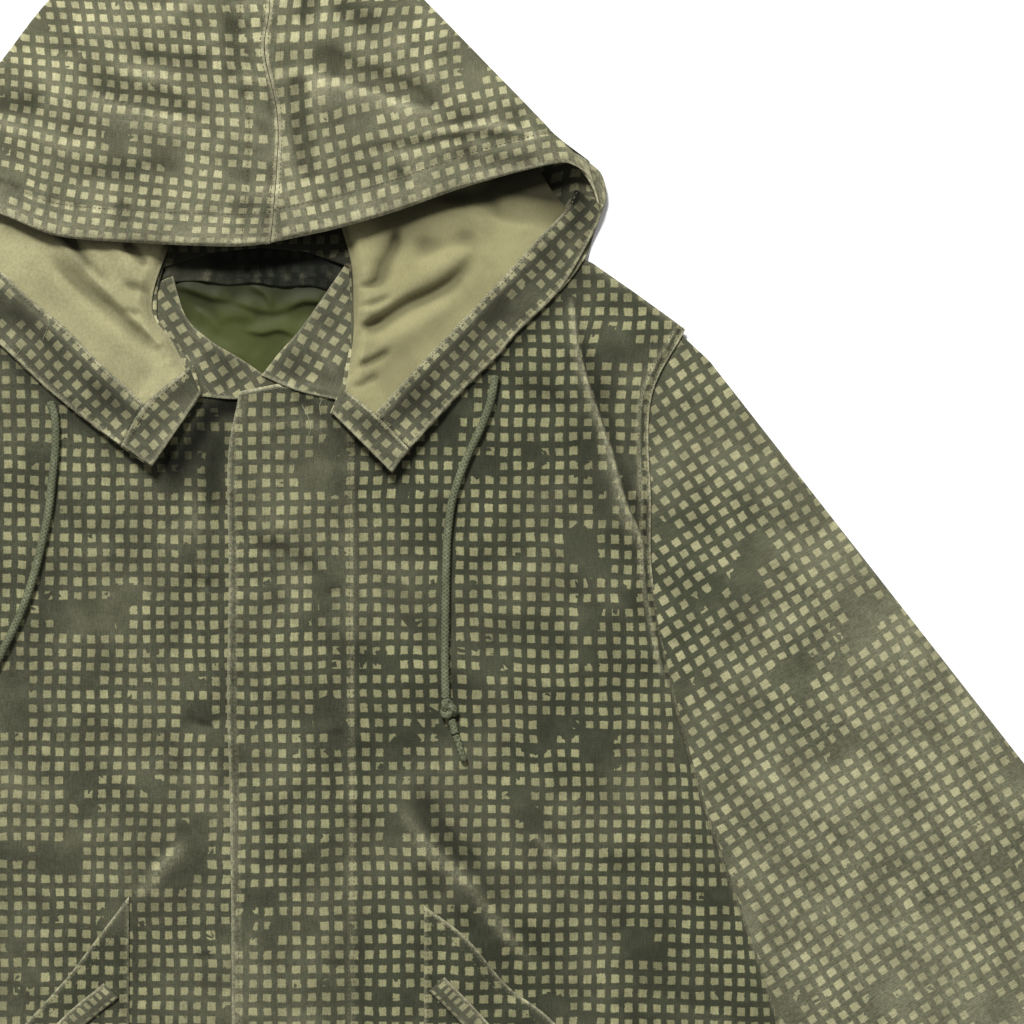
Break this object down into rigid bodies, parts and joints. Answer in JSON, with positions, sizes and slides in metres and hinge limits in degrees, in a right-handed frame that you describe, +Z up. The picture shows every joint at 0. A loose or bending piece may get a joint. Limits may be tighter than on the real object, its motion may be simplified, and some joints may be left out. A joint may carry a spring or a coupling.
{
  "type": "fishtail parka",
  "caption": "Long hooded parka in a faded grid camouflage, laid flat on its back with the hood turned open, a covered front fly and hood drawcords.",
  "frame": {"origin": "middle of the laid-out coat without its cords, on the surface that it lies on", "axes": "+X towards the wearer's left sleeve, +Y towards the hood, +Z up from the back to the front"},
  "size_m": [1.3006, 1.281, 0.024],
  "materials": {
    "print": "worn cotton and nylon twill with a grid print",
    "lining": "matte tan cotton",
    "nylon": "soft satin nylon",
    "cord": "braided cord",
    "tip": "heat-sealed cord"
  },
  "bodies": {
    "root": {"back": "print", "back_neck_facing": "print", "front_left": "print", "front_right": "print", "fly_facing": "print", "sleeve_left": "print", "sleeve_right": "print", "neck_facing_left": "print", "neck_facing_right": "print", "pocket_left": "print", "pocket_right": "print", "pocket_welt_left": "print", "pocket_welt_right": "print", "hood_left": "print", "hood_right": "print", "hood_facing_left": "print", "hood_facing_right": "print", "hood_band_left": "print", "hood_band_right": "print", "back_lining": "nylon", "hood_lining_left": "lining", "hood_lining_right": "lining", "cord_left": "cord", "cord_knot_left": "cord", "cord_end_left": "cord", "cord_tip_left": "tip", "cord_right": "cord", "cord_knot_right": "cord", "cord_end_right": "cord", "cord_tip_right": "tip"}
  },
  "joints": []
}
